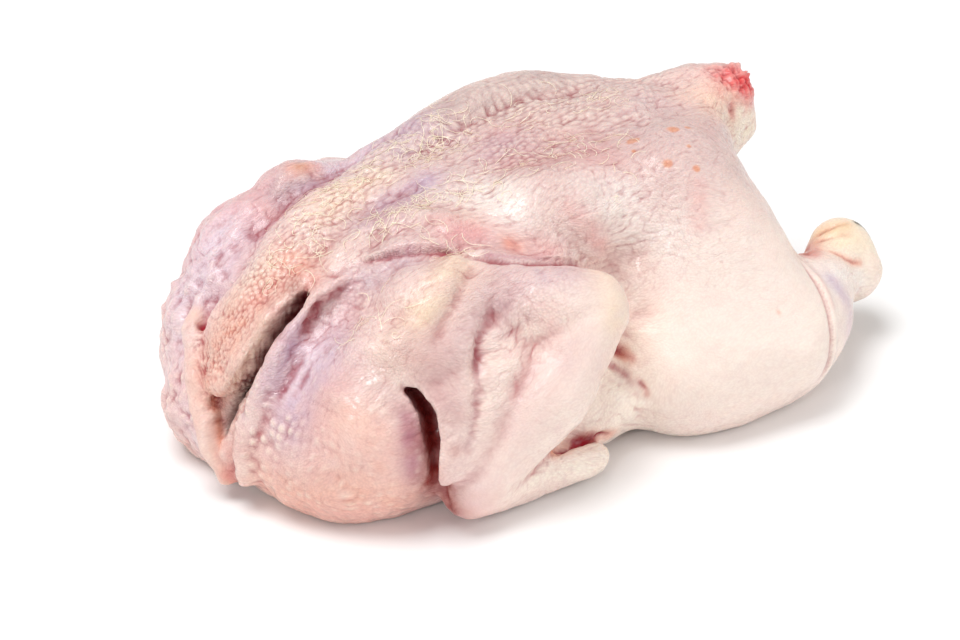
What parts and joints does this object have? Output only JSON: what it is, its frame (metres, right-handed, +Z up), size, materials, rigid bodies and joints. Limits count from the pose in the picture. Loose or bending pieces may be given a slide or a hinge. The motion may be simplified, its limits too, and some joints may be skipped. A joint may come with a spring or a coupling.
{
  "type": "whole raw chicken",
  "caption": "Whole raw plucked chicken lying on its breast, wings folded and legs drawn up, with its neck skin hanging at the front and its tail left on.",
  "frame": {"origin": "middle of the bounding box's footprint, on the surface that the bird lies on", "axes": "+X from the neck to the tail, +Y to the bird's right side, +Z up, through its back"},
  "size_m": [0.2618, 0.1986, 0.0959],
  "materials": {
    "skin": "moist raw poultry skin with follicle bumps, pale pinkish cream mottled lilac and red, softly glossy"
  },
  "bodies": {
    "root": {"chicken": "skin"}
  },
  "joints": []
}
